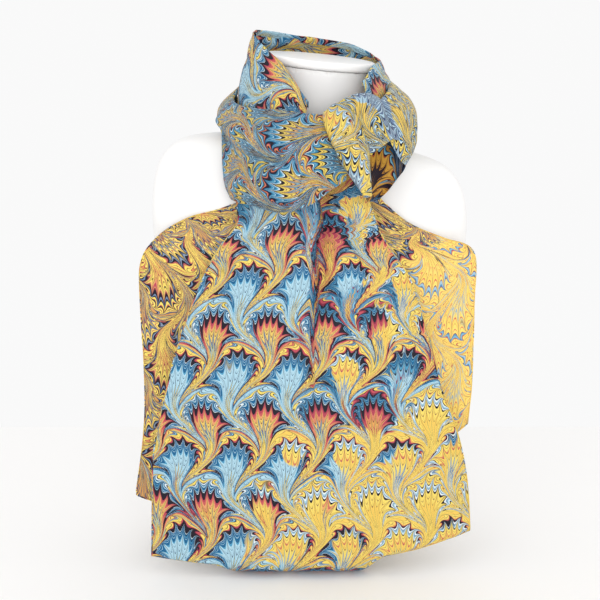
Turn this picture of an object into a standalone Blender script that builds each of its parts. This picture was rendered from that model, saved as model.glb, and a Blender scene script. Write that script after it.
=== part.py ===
"""A marbled silk scarf, folded in half and looped round the neck of a white display bust.

The ends are pulled through the fold at the front, so a band crosses from the left, the folded
end stands as a puffed knot at the right, and two full-width tails hang one over the other.
Metres, +Z up, front towards -Y. The bust stands on z = 0.
"""

import math
from collections import namedtuple

import bmesh
import bpy
import numpy as np
from mathutils import Vector
from mathutils.bvhtree import BVHTree

MM = 0.001

# The cloth is silk twill, built as one even wall.
CLOTH = 1.6
SEAM = 0.5
REST_GAP = 0.7
FLAP_GAP = 0.2
FLOOR_GAP = 0.3
SEAM_RADIUS = 70.0

# The bust is upright at its base and leans to the right towards the top.
LEAN = 0.100
LEAN_FULL_HEIGHT = 330.0
BUST_POINTS = 40
SHELL_POWER = 2.5

NECK_X = 15.0
CAP_HALF_WIDTH = 61.0
CAP_HALF_DEPTH = 55.0
CAP_BOTTOM = 545.5
CAP_TOP = 555.0
CAP_EDGE = 3.0

BustRing = namedtuple("BustRing", "height half_width front back middle_x power")
BUST_RINGS = [
    BustRing(0, 124, 60, 62, -8, SHELL_POWER),
    BustRing(5, 129, 64, 66, -8, SHELL_POWER),
    BustRing(60, 134, 68, 70, -7, SHELL_POWER),
    BustRing(140, 136, 72, 76, -5, SHELL_POWER),
    BustRing(220, 148, 76, 84, -2, SHELL_POWER),
    BustRing(300, 165, 78, 90, 1, SHELL_POWER),
    BustRing(350, 174, 73, 89, 3, SHELL_POWER),
    BustRing(395, 175, 62, 80, 5, SHELL_POWER),
    BustRing(425, 169, 52, 70, 6, SHELL_POWER),
    BustRing(441, 159, 45, 60, 7, SHELL_POWER),
    BustRing(451, 148, 41, 54, 8, SHELL_POWER),
    BustRing(458, 130, 39, 51, 8, 2.3),
    BustRing(463, 100, 41, 50, 9, 2.1),
    BustRing(470, 74, 44, 50, 10, 2.0),
    BustRing(482, 61, 47, 50, 11, 2.0),
    BustRing(500, 56, 49, 50, 13, 2.0),
    BustRing(522, 55, 50, 50, 14, 2.0),
    BustRing(CAP_BOTTOM - 0.5, 56, 51, 51, NECK_X, 2.0),
]

# A stretch round the neck: one row for each section, by its bearing from the front in degrees
# (90 is the left side, -90 the right side), with five points across it from the top edge to the
# bottom edge, each a distance from the neck's middle and a height.
RingSection = namedtuple(
    "RingSection",
    "bearing top_r top_z upper_r upper_z belly_r belly_z lower_r lower_z bottom_r bottom_z",
)

BACK_BAND = [
    RingSection(112, 76, 580, 85, 556, 88, 530, 103, 500, 94, 478),
    RingSection(135, 75, 577, 84, 552, 87, 526, 102, 500, 95, 475),
    RingSection(158, 75, 572, 84, 548, 88, 522, 99, 498, 90, 471),
    RingSection(180, 75, 568, 84, 543, 88, 518, 97, 494, 88, 467),
    RingSection(202, 74, 564, 83, 538, 88, 513, 99, 489, 90, 463),
    RingSection(225, 70, 558, 79, 533, 88, 508, 103, 484, 95, 461),
    RingSection(248, 66, 552, 77, 532, 88, 508, 104, 482, 94, 461),
]
LEFT_COLLAR = [
    RingSection(112, 76, 580, 79, 567, 84, 552, 88, 538, 90, 525),
    RingSection(90, 73, 578, 78, 560, 84, 541, 88, 525, 90, 510),
    RingSection(70, 69, 572, 77, 555, 84, 536, 89, 520, 92, 503),
    RingSection(50, 67, 560, 76, 546, 84, 531, 90, 516, 93, 501),
    RingSection(34, 70, 550, 78, 539, 85, 527, 91, 514, 95, 501),
    RingSection(20, 78, 534, 84, 526, 88, 518, 92, 510, 96, 501),
    RingSection(9, 93, 516, 94, 512, 95, 508, 97, 504, 98, 500),
]
RIGHT_COLLAR = [
    RingSection(-112, 66, 552, 69, 546, 72, 541, 76, 536, 79, 531),
    RingSection(-90, 65, 550, 67, 545, 70, 540, 73, 534, 76, 528),
    RingSection(-70, 66, 549, 69, 544, 72, 538, 75, 532, 78, 526),
    RingSection(-52, 69, 547, 73, 541, 77, 535, 80, 529, 83, 523),
    RingSection(-36, 78, 536, 81, 531, 83, 526, 85, 521, 87, 516),
]
CROSS_WRAP = [
    RingSection(112, 91, 523, 98, 513, 99, 502, 103, 491, 94, 478),
    RingSection(90, 95, 513, 109, 503, 104, 491, 109, 483, 99, 474),
    RingSection(72, 98, 509, 116, 495, 107, 481, 111, 475, 105, 468),
    RingSection(58, 100, 508, 128, 493, 111, 468, 120, 434, 114, 411),
    RingSection(46, 102, 508, 136, 491, 119, 463, 130, 427, 121, 403),
    RingSection(32, 104, 508, 144, 487, 132, 457, 143, 430, 128, 407),
    RingSection(19, 107, 508, 147, 483, 142, 456, 146, 431, 130, 408),
    RingSection(7, 110, 506, 143, 482, 144, 459, 141, 437, 129, 415),
    RingSection(-4, 112, 504, 132, 486, 134, 467, 132, 449, 126, 431),
    RingSection(-12, 112, 498, 126, 484, 128, 470, 127, 456, 122, 441),
]
RIGHT_PUFF = [
    RingSection(-112, 81, 530, 93, 519, 101, 504, 104, 487, 94, 462),
    RingSection(-90, 77, 527, 91, 518, 103, 498, 100, 480, 90, 467),
    RingSection(-68, 82, 527, 102, 510, 112, 486, 108, 470, 99, 460),
    RingSection(-54, 90, 524, 111, 508, 124, 483, 120, 463, 112, 449),
    RingSection(-42, 98, 519, 117, 507, 128, 488, 129, 470, 124, 455),
    RingSection(-33, 103, 514, 114, 508, 119, 500, 121, 491, 120, 482),
]

# A stretch of the knot: one row for each section, from its left edge to its right edge, bowed
# out towards the front by its bulge and arched upwards by its lift.
AcrossSection = namedtuple(
    "AcrossSection", "left_x left_y left_z right_x right_y right_z bulge lift"
)

KNOT_FLAP = [
    AcrossSection(22, -106, 511, 42, -106, 512, 5, 6),
    AcrossSection(16, -122, 507, 51, -117, 505, 12, 3),
    AcrossSection(20, -134, 491, 58, -122, 490, 17, 0),
    AcrossSection(28, -137, 473, 63, -124, 472, 18, 0),
    AcrossSection(37, -137, 456, 64, -126, 456, 14, 0),
    AcrossSection(48, -136, 440, 65, -128, 441, 9, 0),
    AcrossSection(59, -133, 425, 66, -128, 426, 2, 0),
]
MIDDLE_PUFF = [
    AcrossSection(29, -96, 511, 76, -84, 517, 3, 11),
    AcrossSection(38, -108, 510, 79, -94, 512, 13, 9),
    AcrossSection(48, -114, 502, 82, -100, 503, 14, 3),
    AcrossSection(54, -117, 488, 86, -102, 495, 12, 0),
    AcrossSection(58, -119, 475, 89, -103, 489, 8, 0),
    AcrossSection(61, -119, 463, 91, -103, 483, 2, 0),
]
KNOT_INNER_WALL = [
    AcrossSection(52, -98, 482, 96, -72, 474, -6, 0),
    AcrossSection(54, -102, 463, 102, -70, 459, -9, 0),
    AcrossSection(56, -104, 449, 103, -70, 446, -9, 0),
    AcrossSection(58, -108, 437, 94, -78, 435, -8, 0),
    AcrossSection(60, -112, 427, 85, -88, 426, -5, 0),
    AcrossSection(62, -117, 418, 71, -106, 416, -1, 0),
]

# A tail: one row for each section across it, from the knot down to the hem. Its middle hangs
# lower than its edges by the sag.
TailSection = namedtuple(
    "TailSection", "left_x left_y left_z right_x right_y right_z middle_y sag"
)
UNDER_TAIL = [
    TailSection(-30, -60, 440, 66, -60, 440, -62, 0),
    TailSection(-72, -60, 408, 80, -60, 410, -64, 0),
    TailSection(-128, -56, 388, 110, -60, 384, -72, 0),
    TailSection(-163, -50, 364, 146, -56, 368, -80, 0),
    TailSection(-180, -44, 333, 181, -46, 350, -84, 0),
    TailSection(-181, -42, 280, 184, -44, 300, -86, 0),
    TailSection(-179, -44, 220, 184, -46, 250, -88, 0),
    TailSection(-180, -54, 150, 183, -52, 200, -88, 20),
    TailSection(-189, -74, 79, 179, -60, 158, -88, 50),
]
FRONT_TAIL = [
    TailSection(-30, -82, 452, 52, -92, 452, -88, 0),
    TailSection(-71, -76, 418, 63, -92, 424, -98, 0),
    TailSection(-72, -84, 390, 72, -92, 392, -101, 0),
    TailSection(-93, -90, 361, 84, -92, 369, -102, 0),
    TailSection(-110, -94, 328, 108, -92, 333, -103, 0),
    TailSection(-124, -97, 294, 122, -92, 296, -104, 0),
    TailSection(-136, -100, 260, 132, -92, 262, -105, 0),
    TailSection(-148, -102, 215, 143, -92, 216, -107, 0),
    TailSection(-158, -104, 175, 158, -92, 178, -109, 0),
    TailSection(-165, -106, 135, 170, -92, 138, -112, 0),
    TailSection(-167, -108, 85, 177, -92, 98, -117, 6),
    TailSection(-169, -110, 28, 181, -92, 54, -122, 23),
]
CURL_DEPTH = 18.0
CURL_STEPS = 3
CURL_FROM = 0.16
CURL_TO = 0.76
CURL_FADE = 0.1
CURL_LEAST = 0.12

Fold = namedtuple("Fold", "across_top across_hem depth_top depth_hem width")
FRONT_FOLDS = [
    Fold(0.12, 0.08, 4.0, 2.0, 0.06),
    Fold(0.33, 0.26, 3.0, 2.5, 0.06),
    Fold(0.64, 0.50, 7.0, 1.0, 0.06),
    Fold(0.84, 0.72, 3.0, 3.0, 0.05),
]
UNDER_FOLDS = [
    Fold(0.16, 0.07, 4.0, 5.0, 0.05),
    Fold(0.86, 0.95, 4.0, 4.0, 0.05),
]


def read_between(rows, count):
    """COUNT rows on the smooth curve through ROWS, which keep their named columns."""
    table = np.array([tuple(row) for row in rows], float)
    ends = np.vstack([2 * table[0] - table[1], table, 2 * table[-1] - table[-2]])
    found = []
    for place in np.linspace(0, len(table) - 1, count):
        first = min(int(place), len(table) - 2)
        t = place - first
        before, start, end, after = ends[first : first + 4]
        bend = 2 * before - 5 * start + 4 * end - after
        turn = 3 * start - before - 3 * end + after
        values = start + 0.5 * ((end - before) * t + bend * t * t + turn * t**3)
        found.append(type(rows[0])(*values))
    return found


def smooth_step(value):
    value = min(max(value, 0.0), 1.0)
    return value * value * (3 - 2 * value)


def leaning(x, height):
    """The height of a bust point once the bust leans."""
    return height - LEAN * x * smooth_step(height / LEAN_FULL_HEIGHT)


def material(name, colour, roughness, sheen=0.0):
    finish = bpy.data.materials.new(name)
    finish.use_nodes = True
    shader = finish.node_tree.nodes["Principled BSDF"]
    shader.inputs["Base Color"].default_value = (*colour, 1.0)
    shader.inputs["Roughness"].default_value = roughness
    shader.inputs["Metallic"].default_value = 0.0
    shader.inputs["Sheen Weight"].default_value = sheen
    return finish


def settled_scene():
    bpy.context.view_layer.update()
    return bpy.context.evaluated_depsgraph_get()


def object_from(name, mesh_builder, finish, smooth_angle=45):
    mesh = bpy.data.meshes.new(name)
    mesh_builder.to_mesh(mesh)
    mesh_builder.free()
    mesh.shade_smooth()
    mesh.set_sharp_from_angle(angle=math.radians(smooth_angle))
    mesh.materials.append(finish)
    piece = bpy.data.objects.new(name, mesh)
    bpy.context.scene.collection.objects.link(piece)
    return piece


def closed_rings(rings):
    """A body through closed rings of points, from the bottom ring to the top one, with flat ends."""
    body = bmesh.new()
    loops = [[body.verts.new([c * MM for c in point]) for point in ring] for ring in rings]
    count = len(loops[0])
    for low, high in zip(loops, loops[1:]):
        for i in range(count):
            j = (i + 1) % count
            body.faces.new((low[i], low[j], high[j], high[i]))
    body.faces.new(list(reversed(loops[0])))
    body.faces.new(loops[-1])
    return body


def superellipse(angle, half_width, front, back, power):
    """A point of a rounded outline, its front half towards -Y."""
    across = math.cos(angle)
    along = math.sin(angle)
    x = half_width * math.copysign(abs(across) ** (2 / power), across)
    depth = back if along > 0 else front
    y = depth * math.copysign(abs(along) ** (2 / power), along)
    return x, y


def cloth_wall(name, grid, finish):
    """A wall of cloth behind a grid of its outer points: rows run down it, columns to the right."""
    sheet = bmesh.new()
    rows = [[sheet.verts.new([c * MM for c in point]) for point in row] for row in grid]
    for upper, lower in zip(rows, rows[1:]):
        for i in range(len(upper) - 1):
            sheet.faces.new((upper[i], lower[i], lower[i + 1], upper[i + 1]))
    piece = object_from(name, sheet, finish, smooth_angle=80)
    wall = piece.modifiers.new("wall", "SOLIDIFY")
    wall.thickness = CLOTH * MM
    wall.offset = -1
    wall.use_rim = True
    return piece


# The bust, with its neck, is one smooth moulding. Its base is flat and level.


def bust_points(ring, count):
    points = []
    for i in range(count):
        x, y = superellipse(2 * math.pi * i / count, ring.half_width, ring.front, ring.back, ring.power)
        points.append((ring.middle_x + x, y, leaning(ring.middle_x + x, ring.height)))
    return points


def build_bust():
    finish = material("bust_white", (0.86, 0.86, 0.87), 0.55)
    rings = [bust_points(ring, BUST_POINTS) for ring in BUST_RINGS]
    return object_from("display_bust", closed_rings(rings), finish)


# The cap is a rounded disc that closes the neck.


def build_cap():
    finish = material("cap_white", (0.9, 0.9, 0.9), 0.45)
    tall = CAP_TOP - CAP_BOTTOM
    corner = CAP_EDGE * (1 - math.sqrt(0.5))
    profile = [
        (CAP_EDGE, 0.0),
        (corner, corner),
        (0.0, CAP_EDGE),
        (0.0, tall - CAP_EDGE),
        (corner, tall - corner),
        (CAP_EDGE, tall),
    ]
    rings = []
    for inset, rise in profile:
        ring = []
        for i in range(BUST_POINTS):
            x, y = superellipse(
                2 * math.pi * i / BUST_POINTS,
                CAP_HALF_WIDTH - inset,
                CAP_HALF_DEPTH - inset,
                CAP_HALF_DEPTH - inset,
                2.0,
            )
            ring.append((NECK_X + x, y, leaning(NECK_X + x, CAP_BOTTOM + rise)))
        rings.append(ring)
    return object_from("neck_cap", closed_rings(rings), finish)


# The stretches round the neck.


Place = namedtuple("Place", "r z")


def ring_grid(rows, sections, points):
    """The outer points of a stretch round the neck, from its top edge down, left to right."""
    read = read_between(rows, sections)
    columns = []
    for row in read:
        bearing = math.radians(row.bearing)
        profile = [Place(row[i], row[i + 1]) for i in range(1, 11, 2)]
        column = []
        for place in read_between(profile, points):
            column.append(
                (NECK_X - place.r * math.sin(bearing), -place.r * math.cos(bearing), place.z)
            )
        columns.append(column)
    return [list(row) for row in zip(*columns)]


def trimmed(rows, start=0.0, end=0.0):
    """The rows with their first and last bearing drawn in, which leaves a seam gap."""
    first = rows[0]._replace(bearing=rows[0].bearing - start)
    last = rows[-1]._replace(bearing=rows[-1].bearing + end)
    return [first, *rows[1:-1], last]


# The knot's lobes.


def across_grid(rows, sections, points, fullness=0.7):
    """The outer points of a lobe, each section an arch from its left edge to its right edge."""
    grid = []
    for row in read_between(rows, sections):
        line = []
        for i in range(points):
            t = i / (points - 1)
            arch = (4 * t * (1 - t)) ** fullness
            line.append(
                (
                    row.left_x + (row.right_x - row.left_x) * t,
                    row.left_y + (row.right_y - row.left_y) * t - arch * row.bulge,
                    row.left_z + (row.right_z - row.left_z) * t + arch * row.lift,
                )
            )
        grid.append(line)
    return grid


# The tails. Each hangs straight, and rests on what lies under it.


def folds_at(folds, share, down):
    depth = 0.0
    for fold in folds:
        middle = fold.across_top + (fold.across_hem - fold.across_top) * down
        deep = fold.depth_top + (fold.depth_hem - fold.depth_top) * down
        depth += deep * math.exp(-(((share - middle) / fold.width) ** 2))
    return depth


def tail_grid(rows, folds, sections, points):
    """The outer points of a tail, flat across its middle and curving back at its edges."""
    grid = []
    for number, row in enumerate(read_between(rows, sections)):
        line = []
        for i in range(points):
            share = i / (points - 1)
            edge_y = row.left_y if share < 0.5 else row.right_y
            bow = abs(2 * share - 1)
            y = row.middle_y + (edge_y - row.middle_y) * bow**3
            y += folds_at(folds, share, number / (sections - 1))
            x = row.left_x + (row.right_x - row.left_x) * share
            z = row.left_z + (row.right_z - row.left_z) * share - row.sag * (1 - bow**2)
            line.append((x, y, z))
        grid.append(line)
    return grid


def curled_under(grid):
    """The tail with its last stretch curled back on to the table along the middle of its hem."""
    hem = grid[-1]
    for step in range(1, CURL_STEPS + 1):
        turn = math.radians(90 * step / CURL_STEPS)
        line = []
        for i, (x, y, z) in enumerate(hem):
            share = i / (len(hem) - 1)
            inside = min(share - CURL_FROM, CURL_TO - share) / CURL_FADE
            reach = CURL_LEAST + (1 - CURL_LEAST) * smooth_step(inside)
            back = CURL_DEPTH * (1 - math.cos(turn)) * reach
            line.append((x, y + back, z - (z - FLOOR_GAP) * math.sin(turn) * reach))
        grid.append(line)
    return grid


def in_front_of(grid, pieces, only_before=0.0, gap=REST_GAP):
    """The grid with each point that would lie in or behind the pieces brought in front of them."""
    trees = [BVHTree.FromObject(piece, settled_scene()) for piece in pieces]
    moved = []
    for row in grid:
        line = []
        for x, y, z in row:
            for tree in trees:
                start = Vector((x * MM, -1.0, z * MM))
                hit = tree.ray_cast(start, Vector((0.0, 1.0, 0.0)))[0]
                if hit is not None and y < only_before:
                    y = min(y, hit.y / MM - gap - CLOTH)
            line.append((x, y, z))
        moved.append(line)
    return moved


def build_scarf(bust):
    yellow = material("silk_yellow", (0.93, 0.63, 0.10), 0.4, 0.3)
    blue = material("silk_blue", (0.10, 0.33, 0.55), 0.4, 0.3)
    teal = material("silk_light_blue", (0.35, 0.62, 0.75), 0.4, 0.3)
    coral = material("silk_coral", (0.72, 0.25, 0.25), 0.4, 0.3)
    seam_turn = math.degrees(SEAM / SEAM_RADIUS)

    under = in_front_of(tail_grid(UNDER_TAIL, UNDER_FOLDS, 18, 30), [bust])
    under_tail = cloth_wall("under_tail", under, yellow)
    front = curled_under(tail_grid(FRONT_TAIL, FRONT_FOLDS, 20, 30))
    front_tail = cloth_wall("front_tail", in_front_of(front, [under_tail, bust]), teal)

    cloth_wall("neck_back_band", ring_grid(list(reversed(BACK_BAND)), 19, 10), blue)
    cloth_wall("left_collar", ring_grid(trimmed(LEFT_COLLAR, seam_turn), 17, 7), blue)
    right_collar = list(reversed(trimmed(RIGHT_COLLAR, -seam_turn)))
    cloth_wall("right_collar", ring_grid(right_collar, 11, 6), blue)

    wrap = ring_grid(trimmed(CROSS_WRAP, seam_turn), 29, 17)
    cross_wrap = cloth_wall("cross_wrap", in_front_of(wrap, [front_tail], -60), teal)
    right_puff = list(reversed(trimmed(RIGHT_PUFF, -seam_turn)))
    puff = cloth_wall("knot_right_puff", ring_grid(right_puff, 16, 12), yellow)
    inner = in_front_of(across_grid(KNOT_INNER_WALL, 11, 9), [bust, under_tail])
    cloth_wall("knot_inner_wall", inner, coral)
    middle = in_front_of(across_grid(MIDDLE_PUFF, 13, 10), [puff])
    middle_puff = cloth_wall("knot_middle_puff", middle, yellow)
    flap = across_grid(KNOT_FLAP, 14, 9)
    flap = in_front_of(flap, [cross_wrap, middle_puff], gap=FLAP_GAP)
    cloth_wall("knot_flap", flap, yellow)


def stand_on_origin():
    """Hang every piece on one empty, which puts the middle of their box over the origin."""
    scene = settled_scene()
    pieces = [piece for piece in bpy.data.objects if piece.type == "MESH"]
    corners = []
    for piece in pieces:
        corners.extend(Vector(corner) for corner in piece.evaluated_get(scene).bound_box)
    stand = bpy.data.objects.new("stand", None)
    bpy.context.scene.collection.objects.link(stand)
    for axis in range(2):
        reach = [corner[axis] for corner in corners]
        stand.location[axis] = -(min(reach) + max(reach)) / 2
    for piece in pieces:
        piece.parent = stand


for old in list(bpy.data.objects):
    bpy.data.objects.remove(old, do_unlink=True)
display_bust = build_bust()
build_cap()
build_scarf(display_bust)
stand_on_origin()
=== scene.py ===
"""A marbled silk scarf, folded in half and looped round the neck of a white display bust."""

import math
from collections import namedtuple

import bpy
import numpy as np
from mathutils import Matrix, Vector, noise
from mathutils.bvhtree import BVHTree


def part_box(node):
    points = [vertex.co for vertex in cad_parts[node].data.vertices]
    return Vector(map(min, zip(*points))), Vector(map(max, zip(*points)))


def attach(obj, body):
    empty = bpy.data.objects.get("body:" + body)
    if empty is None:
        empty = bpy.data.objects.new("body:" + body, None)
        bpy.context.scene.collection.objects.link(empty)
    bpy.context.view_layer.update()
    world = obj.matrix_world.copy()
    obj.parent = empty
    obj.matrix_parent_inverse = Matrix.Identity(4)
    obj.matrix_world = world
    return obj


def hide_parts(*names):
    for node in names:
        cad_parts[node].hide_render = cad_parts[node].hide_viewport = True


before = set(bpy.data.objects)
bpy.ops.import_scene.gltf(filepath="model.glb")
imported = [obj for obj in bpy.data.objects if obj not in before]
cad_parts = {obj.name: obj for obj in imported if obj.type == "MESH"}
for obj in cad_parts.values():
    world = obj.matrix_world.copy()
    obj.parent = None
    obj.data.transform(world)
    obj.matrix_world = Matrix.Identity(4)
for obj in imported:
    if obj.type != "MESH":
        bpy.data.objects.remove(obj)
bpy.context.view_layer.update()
MM = 0.001


# The display bust is one smooth moulding of white plastic with a satin skin. Its neck is part of
# it, and it stands on its flat base.


class Value:
    """A value in a finish: its operators add Math nodes, and node() adds any other node."""

    def __init__(self, tree, socket=None):
        self.tree = tree
        self.socket = socket

    def node(self, kind, inputs, out=0, stops=(), **settings):
        made = self.tree.nodes.new(kind)
        for setting, value in settings.items():
            setattr(made, setting, value)
        if len(stops) > 2:
            made.color_ramp.interpolation = "CONSTANT"
        for _ in stops[2:]:
            made.color_ramp.elements.new(1.0)
        for number, (place, code) in enumerate(stops):
            made.color_ramp.elements[number].position = place
            made.color_ramp.elements[number].color = paint(code)
        for name, value in inputs.items():
            if isinstance(value, Value):
                self.tree.links.new(value.socket, made.inputs[name])
            else:
                made.inputs[name].default_value = value
        return Value(self.tree, made.outputs[out])

    def maths(self, operation, *values):
        return self.node("ShaderNodeMath", dict(enumerate(values)), operation=operation)

    def of(self, operation, *others):
        return self.maths(operation, self, *others)

    def clamped(self):
        return self.node("ShaderNodeClamp", {"Value": self})

    def ramp(self, stops):
        """The value's colour on a ramp, in flat bands where it has more than two stops."""
        return self.node("ShaderNodeValToRGB", {"Fac": self}, stops=stops)

    def __add__(self, other):
        return self.maths("ADD", self, other)

    def __sub__(self, other):
        return self.maths("SUBTRACT", self, other)

    def __mul__(self, other):
        return self.maths("MULTIPLY", self, other)

    def __rsub__(self, other):
        return self.maths("SUBTRACT", other, self)

    __radd__ = __add__
    __rmul__ = __mul__


def paint(code):
    """The linear colour of one written in six hexadecimal digits."""
    shades = [int(code[place : place + 2], 16) / 255 for place in (0, 2, 4)]
    return (*[((shade + 0.055) / 1.055) ** 2.4 for shade in shades], 1.0)


def finish_of(name, roughness, **constants):
    """A new finish, with its shader's own sockets set: (material, shader, first value)."""
    made = bpy.data.materials.new(name)
    made.use_nodes = True
    shader = made.node_tree.nodes["Principled BSDF"]
    shader.inputs["Roughness"].default_value = roughness
    for socket, value in constants.items():
        shader.inputs[socket.replace("_", " ")].default_value = value
    return made, shader, Value(made.node_tree)


def white_plastic(name, light, shade, roughness, grain):
    """White plastic: a faint unevenness of tone and a fine moulded grain."""
    made, shader, value = finish_of(name, roughness, Specular_IOR_Level=0.4)
    place = value.node("ShaderNodeTexCoord", {}, out=3)
    cloud = value.node("ShaderNodeTexNoise", {"Vector": place, "Scale": 9.0, "Detail": 3.0})
    tone = cloud.ramp(((0.3, shade), (0.7, light)))
    fine = value.node("ShaderNodeTexNoise", {"Vector": place, "Scale": 900.0, "Detail": 2.0})
    dents = value.node("ShaderNodeBump", {"Height": fine, "Strength": grain, "Distance": 0.0003})
    value.tree.links.new(tone.socket, shader.inputs["Base Color"])
    value.tree.links.new(dents.socket, shader.inputs["Normal"])
    return made


def rounded_copy(name, node, finish, levels):
    """A finer copy of a CAD node's form, its sharp edges kept."""
    bpy.ops.object.select_all(action="DESELECT")
    piece = bpy.data.objects.new(name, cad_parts[node].data.copy())
    bpy.context.scene.collection.objects.link(piece)
    bpy.context.view_layer.objects.active = piece
    piece.select_set(True)
    bpy.ops.mesh.customdata_custom_splitnormals_clear()
    bpy.ops.object.mode_set(mode="EDIT")
    bpy.ops.mesh.select_all(action="SELECT")
    bpy.ops.mesh.remove_doubles(threshold=1e-6)
    bpy.ops.mesh.tris_convert_to_quads()
    bpy.ops.mesh.select_all(action="DESELECT")
    bpy.ops.mesh.select_mode(type="EDGE")
    bpy.ops.mesh.edges_select_sharp(sharpness=math.radians(60))
    bpy.ops.transform.edge_crease(value=0.9)
    bpy.ops.object.mode_set(mode="OBJECT")
    skin = piece.modifiers.new("skin", "SUBSURF")
    skin.levels = levels
    skin.render_levels = levels
    bpy.ops.object.modifier_apply(modifier="skin")
    bpy.ops.object.shade_smooth_by_angle(angle=math.radians(50))
    piece.data.materials.clear()
    piece.data.materials.append(finish)
    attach(piece, "root")
    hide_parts(node)
    return piece


bust_white = white_plastic("bust_white", "F8F7F6", "F4F3F2", 0.5, 0.1)
bust = rounded_copy("bust_moulding", "display_bust", bust_white, 2)


# The neck cap is a thick disc of white plastic with a rounded rim, pressed on to the neck's top.
# A fine dark seam shows where it meets the neck.

cap_white = white_plastic("cap_white", "FBFAF9", "F6F5F4", 0.32, 0.05)
cap = rounded_copy("neck_cap_disc", "neck_cap", cap_white, 2)


# The silk is a light twill, marbled by hand: colours floated in stripes, combed into scallops,
# and then drawn into staggered fans by two rows of wide teeth moved in waves.

# Flat cloth is measured in millimetres here, across the rows of fans and up the way they open.
FAN_PITCH = 60.4
FAN_ROWS = 98.0
WAVE = 0.242 * FAN_PITCH
TOOTH_DRAG = 38.0
TOOTH_REACH = 7.6
COMB_PITCH = 6.8
COMB_DRAG = 16.0
COMB_REACH = 1.9

# How far the floating colours drifted under the teeth, and how unevenly they were dropped.
DRIFT = 14.0
DROP_SPREAD = 0.06

# Each tooth of the comb left a dark line. Finer veins run through the fans' warm and cool hearts,
# and not through their crowns. A place in a band is its share of the way from warm to cool.
SPIKE_WIDTH, SPIKE_STRENGTH, SPIKE_DYE = 0.45, 0.6, "3A2434"
VEIN_WIDTH, VEIN_STRENGTH, WARM_VEIN, COOL_VEIN = 0.3, 0.5, "8A4440", "4F6A84"
CROWN_MIDDLE, CROWN_HALF, COOL_FROM = 0.46, 0.17, 0.6

# Two palettes meet along an uneven edge: pools of the cloth change over before the rest.
POOL_FLOOR, POOL_GAIN, POOL_EDGE = 0.3, 2.5, 14.0

# The crown of a fan with a warm heart, from the first tooth line.
WARM_CROWN = (-0.25 * FAN_PITCH, 0.327 * FAN_ROWS)

# The dyes that come back in several palettes.
YELLOW, STRAW, MAIZE, HONEY, GOLD = "F9DE6C", "F9DC74", "F9DA70", "F8D868", "F8D060"
OCHRE, AMBER, APRICOT, CORAL, ROSE = "D8A04C", "F0B45C", "E08A5A", "D8705E", "B84458"
WINE, CLARET, PLUM = "8A2A44", "8A3A44", "8A4A5A"
SEPIA, BARK, UMBER, BLACK = "5A3430", "6A4030", "8A5A40", "160C20"
SLATE, DUSK, STEEL, GREY = "34486C", "4A5A78", "4A6C8C", "6F86A8"
NAVY, BLUE, LAGOON, AZURE, PALE = "0F4A70", "0C6494", "3A8CB4", "4FA0C8", "8CC4DC"
SKY, HAZE, ICE, MIST, PEARL = "A8D4E4", "B4D4E4", "B4DCEC", "C8E6F0", "D4ECF2"
FROST, SNOW = "E6F3F6", "F2F8F8"


def dragged(along, up, side, first_line):
    """Flat cloth before a row of wide teeth crossed it in a wave, by its first line's place."""
    turn = 2 * math.pi / FAN_ROWS
    line = along - (up * turn + side).of("SINE") * WAVE
    share = (line * (1 / FAN_PITCH) + (0.5 - first_line)).of("FRACT")
    near = ((share - 0.5).of("ABSOLUTE") * (-FAN_PITCH / TOOTH_REACH)).of("EXPONENT")
    was = up + near * TOOTH_DRAG
    return line + (was * turn + side).of("SINE") * WAVE, was


def off_line(along, pitch):
    """How far a place is from the nearest of the lines that stand a pitch apart."""
    return ((along * (1 / pitch) + 0.5).of("FRACT") - 0.5).of("ABSOLUTE") * pitch


def mixed(share, first, second):
    return share.node("ShaderNodeMix", {0: share, 6: first, 7: second}, out=2, data_type="RGBA")


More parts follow.
